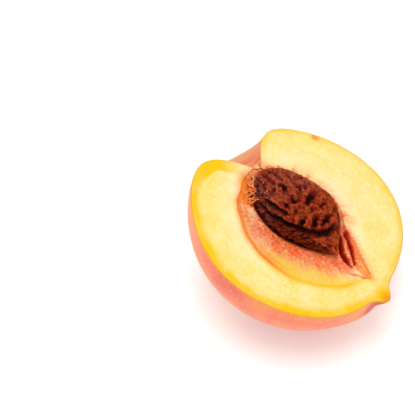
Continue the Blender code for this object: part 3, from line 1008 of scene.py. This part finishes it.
def sweep(mesh, path, radius, tip_share, layer, value):
    """Extrudes a ring along a path of points; the radius shrinks to tip_share of itself at the end."""
    run = (path[1] - path[0]).normalized()
    ring = bmesh.ops.create_circle(mesh, cap_ends=True, segments=STRAND_SIDES, radius=radius)["verts"]
    turn = run.to_track_quat("Z", "Y").to_matrix()
    bmesh.ops.rotate(mesh, verts=ring, cent=(0, 0, 0), matrix=turn)
    bmesh.ops.translate(mesh, verts=ring, vec=path[0])
    made = list(ring)
    cap = ring[0].link_faces[0]
    steps = len(path) - 1
    for number, (here, there) in enumerate(zip(path, path[1:]), 1):
        grown = bmesh.ops.extrude_face_region(mesh, geom=[cap], use_keep_orig=number == 1)["geom"]
        cap = next(item for item in grown if isinstance(item, bmesh.types.BMFace))
        narrow = mix(1.0, tip_share, number / steps) / mix(1.0, tip_share, (number - 1) / steps)
        bmesh.ops.translate(mesh, verts=cap.verts, vec=there - here)
        bmesh.ops.scale(mesh, verts=cap.verts, vec=(narrow,) * 3, space=Matrix.Translation(-there))
        made += list(cap.verts)
    for vert in made:
        vert[layer] = value


print("a strand has", STRAND_SIDES, "sides")

# %% Scatter the strands
# Each group is a count, degrees round the stone, mm out from it, and tones from pale to orange.
STRAND_GROUPS = (
    (4, (-172.0, -164.0), (0.3, 1.8), (0.3, 0.8)),
    (26, (-164.0, -136.0), (0.3, 2.4), (0.4, 1.0)),
)
STRAND_CLIMB = (2.0, 22.0)
STRAND_SLANT = 0.16
STRAND_ENDS = (0.9, 0.98)
STRAND_ARCH = (0.0, 0.3)
STRAND_RADII = (0.3, 0.65)
STRAND_TIP_SHARE = 0.2
STRAND_WOBBLE = 0.8
STRAND_STEPS = 6
ROOT_DEPTH = 0.3
random = Random(11)
strands = bmesh.new()
tone_layer = strands.verts.layers.float.new("tone")


def bent_path(start, end, arch):
    path = []
    for number in range(STRAND_STEPS + 1):
        share = number / STRAND_STEPS
        point = start.lerp(end, share) + Vector((0.0, 0.0, arch * sin(pi * share)))
        shake = noise.noise_vector(start * 3.0 + Vector((share * 2.2, 0.0, 0.0))) * STRAND_WOBBLE
        path.append(point + shake * sin(pi * min(1.0, share * 1.2)))
    return path


def hollow_share_of(mm_from_stone, angle):
    keel, ledge, _, _ = spoke(angle)
    climb = min(0.98, mm_from_stone / max(0.5, (ledge - keel).length))
    return mix(SEAT_SHARE, HOLLOW_SHARE, climb)


for count, angles, starts_mm, tones in STRAND_GROUPS:
    for _ in range(count):
        angle = round(radians(random.uniform(*angles)), 4)
        share = hollow_share_of(random.uniform(*starts_mm), angle)
        start = face_point(share, angle, outline)[0] - Vector((0.0, 0.0, ROOT_DEPTH))
        aimed = angle + random.uniform(-STRAND_SLANT, STRAND_SLANT)
        along = cos(aimed) * stone_reach(aimed) / STONE_HALF_LENGTH
        turn = pi - radians(random.uniform(*STRAND_CLIMB))
        end = STONE_CENTRE + stone_point(along * random.uniform(*STRAND_ENDS), turn)
        path = bent_path(start, end, random.uniform(*STRAND_ARCH))
        radius = random.uniform(*STRAND_RADII)
        sweep(strands, path, radius, STRAND_TIP_SHARE, tone_layer, random.uniform(*tones))
bmesh.ops.recalc_face_normals(strands, faces=strands.faces)
strand_piece = lay_down(strands, "torn_strands")

# %% [markdown]
# ## Finishes
#
# Every finish is a Principled shader fed by a few nodes. The helpers below add a node and link or
# set its inputs in one line, so that each finish reads as a list of what the eye sees. Colours are
# given as the familiar six-digit codes, and turned into the linear values that Blender mixes.

# %% Colours, and nodes with their inputs
def tint(code):
    """A six-digit colour code as linear red, green, blue and alpha."""
    shares = [int(code[place:place + 2], 16) / 255.0 for place in (0, 2, 4)]
    linear = [c / 12.92 if c <= 0.04045 else ((c + 0.055) / 1.055) ** 2.4 for c in shares]
    return (*linear, 1.0)


def fill(tree, node, inputs):
    """Links an input to a socket, or sets it to a value."""
    for name, value in inputs.items():
        if isinstance(value, bpy.types.NodeSocket):
            tree.links.new(value, node.inputs[name])
        else:
            node.inputs[name].default_value = value


def add_node(tree, kind, inputs, **settings):
    node = tree.nodes.new(kind)
    for name, value in settings.items():
        setattr(node, name, value)
    fill(tree, node, inputs)
    return node


def field(tree, name):
    return add_node(tree, "ShaderNodeAttribute", {}, attribute_name=name).outputs["Fac"]


def direction_field(tree, name):
    return add_node(tree, "ShaderNodeAttribute", {}, attribute_name=name).outputs["Vector"]


def object_place(tree):
    return add_node(tree, "ShaderNodeTexCoord", {}).outputs["Object"]


print("cream in linear values:", [round(c, 3) for c in tint("FCE9A6")])

# %% Patterns, sums and layers of colour


def grains(tree, place, scale, detail=3.0, roughness=0.55):
    inputs = {"Vector": place, "Scale": scale, "Detail": detail, "Roughness": roughness}
    return add_node(tree, "ShaderNodeTexNoise", inputs).outputs["Fac"]


def calculate(tree, operation, first, second, clamp=False):
    inputs = {0: first, 1: second}
    return add_node(tree, "ShaderNodeMath", inputs, operation=operation, use_clamp=clamp).outputs[0]


def multiply(tree, first, second, clamp=False):
    return calculate(tree, "MULTIPLY", first, second, clamp)


def spread(tree, value, low, high, to_low=0.0, to_high=1.0):
    inputs = {"Value": value, "From Min": low, "From Max": high, "To Min": to_low, "To Max": to_high}
    return add_node(tree, "ShaderNodeMapRange", inputs, interpolation_type="SMOOTHSTEP").outputs["Result"]


def blend(tree, share, first, second):
    inputs = {0: share, 6: first, 7: second}
    return add_node(tree, "ShaderNodeMix", inputs, data_type="RGBA").outputs[2]


def lay_colours(tree, colour, layers_of_colour):
    """Lays colours over the first one in turn, each by its own share."""
    for share, code in layers_of_colour:
        colour = blend(tree, share, colour, tint(code))
    return colour


def relief(tree, height, strength, distance, below=None):
    inputs = {"Height": height, "Strength": strength, "Distance": distance}
    if below is not None:
        inputs["Normal"] = below
    return add_node(tree, "ShaderNodeBump", inputs).outputs["Normal"]


def start_finish(name):
    material = bpy.data.materials.new(name)
    material.use_nodes = True
    return material, material.node_tree, material.node_tree.nodes["Principled BSDF"]


def finish_piece(piece, material, slot, *nodes):
    piece.data.materials.clear()
    piece.data.materials.append(material)
    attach(piece, "root")
    if nodes:
        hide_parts(*nodes)
    print(piece.name, "has a finish of", len(material.node_tree.nodes), "nodes in the slot", slot)


print("pieces to finish:", [piece.name for piece in (flesh_piece, skin_piece, stone_piece, strand_piece)])

# %% [markdown]
# ### Cut flesh
#
# The base is cream, mottled with yellow and pale patches and streaked outwards by fibres. The
# fields then lay cream, pale torn flesh, gold, pink, orange and red over it in that order, each
# broken up by noise, so no edge looks drawn. Last come an orange tint in the crevices between
# fibres, painted in for light that scatters there, pale tufts, and painted shade, a dark red, in
# the bottoms of the two clefts. Juice gives a soft gloss, and light that scatters under the
# surface softens it.

# %% Patterns and layers of the cut flesh
# What the pattern follows, its scale, its detail and its roughness.
FLESH_PATTERNS = {
    "mottle": ("place", 130.0, 4.0, 0.6),
    "fine mottle": ("place", 420.0, 3.0, 0.6),
    "streaks": ("grain", 26.0, 4.0, 0.6),
    "fine streaks": ("grain", 60.0, 3.0, 0.6),
    "swirls": ("swirl", 9.0, 4.0, 0.6),
    "specks": ("place", 950.0, 4.0, 0.7),
    "pulp": ("place", 1500.0, 3.0, 0.6),
}
# A pattern, the values between which the colour comes in, its greatest share, and the colour.
FLESH_MOTTLES = (
    ("fine mottle", 0.50, 0.80, 0.3, "F8EAC4"),
    ("specks", 0.50, 0.68, 0.25, "E6CE58"),
    ("swirls", 0.54, 0.68, 0.5, "EACA48"),
    ("streaks", 0.50, 0.72, 0.5, "F4E8C0"),
    ("fine streaks", 0.54, 0.72, 0.35, "E4C64C"),
)
# A field, the pattern that breaks it up, the pattern's two values, their two shares, and the colour.
FLESH_LAYERS = (
    ("cream", "mottle", 0.30, 0.60, 0.8, 0.35, "F5E2BE"),
    ("torn", "fine streaks", 0.45, 0.65, 0.25, 0.8, "F2CFA2"),
    ("gold", "mottle", 0.25, 0.55, 0.75, 1.0, "EBBB00"),
    ("pink", "fine streaks", 0.36, 0.62, 0.25, 1.0, "F0845C"),
    ("orange", "fine streaks", 0.2, 0.5, 0.6, 1.0, "EC7C10"),
    ("red", "specks", 0.36, 0.56, 0.55, 1.0, "EA4A16"),
)
print("colours over the flesh's base:", len(FLESH_MOTTLES) + len(FLESH_LAYERS) + 3)

# %% Finish of the cut flesh


def flesh_colours(tree, seen):
    """All shares and colours that are laid over the base, in order. Seen holds the patterns."""
    torn = field(tree, "torn")
    shares = [
        (spread(tree, seen[pattern], low, high, 0.0, most), code)
        for pattern, low, high, most, code in FLESH_MOTTLES
    ]
    for name, pattern, low, high, at_low, at_high, code in FLESH_LAYERS:
        patches = spread(tree, seen[pattern], low, high, at_low, at_high)
        shares.append((multiply(tree, field(tree, name), patches), code))
    tufts = multiply(tree, field(tree, "pink"), spread(tree, seen["streaks"], 0.48, 0.36, 0.0, 0.45))
    # Painted crevice tint: orange in the crevices between fibres, in place of light scattered there.
    shares.append((multiply(tree, field(tree, "painted_crevice_tint"), 0.5), "E06A2C"))
    shares.append((multiply(tree, tufts, torn), "F6C8A8"))
    # Painted shade: the bottoms of the two clefts are painted dark red.
    shares.append((field(tree, "painted_cleft_shade"), "A81C08"))
    return shares


def flesh_finish():
    material, tree, shader = start_finish("cut flesh")
    follows = {name: direction_field(tree, name) for name in ("grain", "swirl")}
    follows["place"] = object_place(tree)
    seen = {}
    for name, (what, scale, detail, roughness) in FLESH_PATTERNS.items():
        seen[name] = grains(tree, follows[what], scale, detail, roughness)
    colour = blend(tree, spread(tree, seen["mottle"], 0.34, 0.70), tint("EBDA92"), tint("EAD276"))
    crumbs = relief(tree, multiply(tree, seen["specks"], field(tree, "torn")), 0.5, 0.0005)
    strings = relief(tree, seen["fine streaks"], 0.3, 0.0003, crumbs)
    fill(tree, shader, {
        "Base Color": lay_colours(tree, colour, flesh_colours(tree, seen)),
        "Roughness": spread(tree, seen["fine mottle"], 0.3, 0.7, 0.34, 0.52),
        "Normal": relief(tree, seen["pulp"], 0.22, 0.00012, strings),
        "Subsurface Weight": 0.3,
        "Subsurface Radius": (1.0, 0.55, 0.2),
        "Subsurface Scale": 0.0025,
        "Specular IOR Level": 0.14,
    })
    return material


finish_piece(flesh_piece, flesh_finish(), "flesh", "flesh")

# %% [markdown]
# ### Velvet skin
#
# Close up the skin is a yellow ground with a red blush, drawn in blotches and fine dots, under short
# pale fuzz. The fuzz is sheen: it brightens the skin where it is seen edge-on. The blush grows with
# the depth below the cut and round the beak, and the skin in the stem cavity is paler.

# %% Finish of the skin


def skin_colours(tree, clouds, dots):
    """All shares and colours that are laid over the base, in order."""
    below = field(tree, "below")
    cavity = field(tree, "cavity")
    blotches = grains(tree, object_place(tree), 170.0, 4.0, 0.65)
    wrinkles = grains(tree, direction_field(tree, "folds"), 1.6, 2.0, 0.5)
    lower_blush = spread(tree, below, 0.30, 0.85, 0.0, 0.55)
    blush = calculate(tree, "ADD", lower_blush, spread(tree, clouds, 0.45, 0.75, -0.1, 0.5))
    blush = multiply(tree, blush, spread(tree, blotches, 0.3, 0.7, 0.45, 1.0), clamp=True)
    ground = multiply(tree, spread(tree, below, 0.35, 0.8), spread(tree, clouds, 0.50, 0.34), clamp=True)
    stem_blush = multiply(tree, spread(tree, cavity, 0.45, 0.95), spread(tree, wrinkles, 0.35, 0.6))
    return (
        (blush, "CF3A2A"),
        (ground, "F2A63E"),
        (spread(tree, dots, 0.52, 0.75, 0.0, 0.35), "FFD0A8"),
        (spread(tree, cavity, 0.05, 0.5, 0.0, 0.9), "DE9060"),
        (stem_blush, "DE6038"),
        (spread(tree, field(tree, "beak"), 0.05, 0.55, 0.0, 0.85), "C8402A"),
        (multiply(tree, field(tree, "cut_edge"), 0.85), "F0A030"),
    )


def skin_finish():
    material, tree, shader = start_finish("velvet skin")
    clouds = grains(tree, object_place(tree), 45.0, 4.0, 0.6)
    dots = grains(tree, object_place(tree), 1400.0, 2.0, 0.6)
    colour = blend(tree, spread(tree, clouds, 0.35, 0.65), tint("F5924F"), tint("F4745A"))
    fill(tree, shader, {
        "Base Color": lay_colours(tree, colour, skin_colours(tree, clouds, dots)),
        "Normal": relief(tree, dots, 0.3, 0.0001),
        "Roughness": 0.62,
        "Sheen Weight": 0.35,
        "Sheen Roughness": 0.35,
        "Sheen Tint": tint("FFE6DC"),
        "Subsurface Weight": 0.12,
        "Subsurface Radius": (1.0, 0.4, 0.2),
        "Subsurface Scale": 0.0015,
        "Specular IOR Level": 0.3,
    })
    return material


finish_piece(skin_piece, skin_finish(), "skin")

# %% [markdown]
# ### Stone
#
# The stone is dark red-brown. Its pits are painted nearly black as painted shade, and its ridge
# crests are painted orange-brown as painted highlights, lighter towards the tip. Juice is still
# on it at the stem end, so that end shines.

# %% Finish of the stone


def stone_finish():
    material, tree, shader = start_finish("damp stone")
    place = object_place(tree)
    patches = grains(tree, place, 220.0, 4.0, 0.65)
    fibre = grains(tree, place, 900.0, 4.0, 0.7)
    towards_tip = field(tree, "towards_tip")
    # Painted highlight: ridge crests are painted lighter orange-brown, more so towards the tip.
    painted_ridge_highlight = multiply(tree, field(tree, "ridge"), spread(tree, fibre, 0.3, 0.7, 0.3, 1.0))
    painted_ridge_highlight = multiply(tree, painted_ridge_highlight, spread(tree, towards_tip, 0.0, 1.0, 0.62, 1.0))
    damp = multiply(tree, spread(tree, towards_tip, 0.75, 0.1), spread(tree, fibre, 0.42, 0.62))
    coarse = relief(tree, patches, 0.7, 0.0014)
    colour = blend(tree, spread(tree, patches, 0.35, 0.7), tint("6C1A0A"), tint("8C2C12"))
    fill(tree, shader, {
        # Painted shade: the pits are painted nearly black.
        "Base Color": lay_colours(tree, colour, ((painted_ridge_highlight, "C8541E"), (field(tree, "pit"), "2A0703"))),
        "Roughness": spread(tree, damp, 0.0, 1.0, 0.62, 0.2),
        "Normal": relief(tree, fibre, 0.9, 0.0006, coarse),
        "Specular IOR Level": spread(tree, damp, 0.25, 1.0, 0.06, 0.7),
    })
    return material


finish_piece(stone_piece, stone_finish(), "stone", "stone")

# %% [markdown]
# ### Strands
#
# The strands take their colour from one field, from a pale orange to a deep one. They are wet, so
# they are a little glossier than the flesh.

# %% Finish of the strands


def strand_finish():
    material, tree, shader = start_finish("wet strands")
    streaks = grains(tree, object_place(tree), 900.0)
    colour = blend(tree, spread(tree, field(tree, "tone"), 0.0, 0.7), tint("F2B67C"), tint("E8701C"))
    pale_streaks = spread(tree, streaks, 0.5, 0.7, 0.0, 0.4)
    fill(tree, shader, {
        "Base Color": blend(tree, pale_streaks, colour, tint("F8D8AC")),
        "Roughness": 0.35,
        "Subsurface Weight": 0.2,
        "Subsurface Radius": (1.0, 0.5, 0.2),
        "Subsurface Scale": 0.001,
    })
    return material


finish_piece(strand_piece, strand_finish(), "flesh")

# %% [markdown]
# ## Floor and light
#
# The half lies on a white light table in a bright, soft studio. A white world lights it from all
# round, the table glows a little from below, and one wide lamp above gives the shadows their
# direction. The table isn't part of the fruit.

# %% Stage, lamps and world
WORLD_STRENGTH = 0.87
KEY_POWER = 3.1
KEY_SIZE = 0.5
KEY_PLACE = Vector((0.02, -0.12, 0.86))
TABLE_GLOW = 0.2
FLOOR_SIDE = 4.0
WHITE = (1.0, 1.0, 1.0, 1.0)

floor_mesh = bmesh.new()
bmesh.ops.create_grid(floor_mesh, x_segments=1, y_segments=1, size=FLOOR_SIDE / 2.0)
floor_data = bpy.data.meshes.new("table")
floor_mesh.to_mesh(floor_data)
floor_mesh.free()
table = bpy.data.objects.new("table", floor_data)
table.location.z = cad_low.z
bpy.context.scene.collection.objects.link(table)
table_material, table_tree, table_shader = start_finish("white table")
fill(table_tree, table_shader, {
    "Base Color": tint("EEF5F4"),
    "Roughness": 0.6,
    "Emission Color": WHITE,
    "Emission Strength": TABLE_GLOW,
})
floor_data.materials.append(table_material)

world = bpy.data.worlds.new("studio")
world.use_nodes = True
background = world.node_tree.nodes["Background"]
fill(world.node_tree, background, {"Color": WHITE, "Strength": WORLD_STRENGTH})
bpy.context.scene.world = world
bpy.context.scene.view_settings.view_transform = "Standard"

lamp = bpy.data.lights.new("key", "AREA")
lamp.shape = "DISK"
lamp.size = KEY_SIZE
lamp.energy = KEY_POWER
holder = bpy.data.objects.new("key", lamp)
holder.location = KEY_PLACE
holder.rotation_euler = (fruit_centre - KEY_PLACE).to_track_quat("-Z", "Y").to_euler()
bpy.context.scene.collection.objects.link(holder)
print("key lamp:", KEY_POWER, "W at", [round(c, 2) for c in KEY_PLACE])
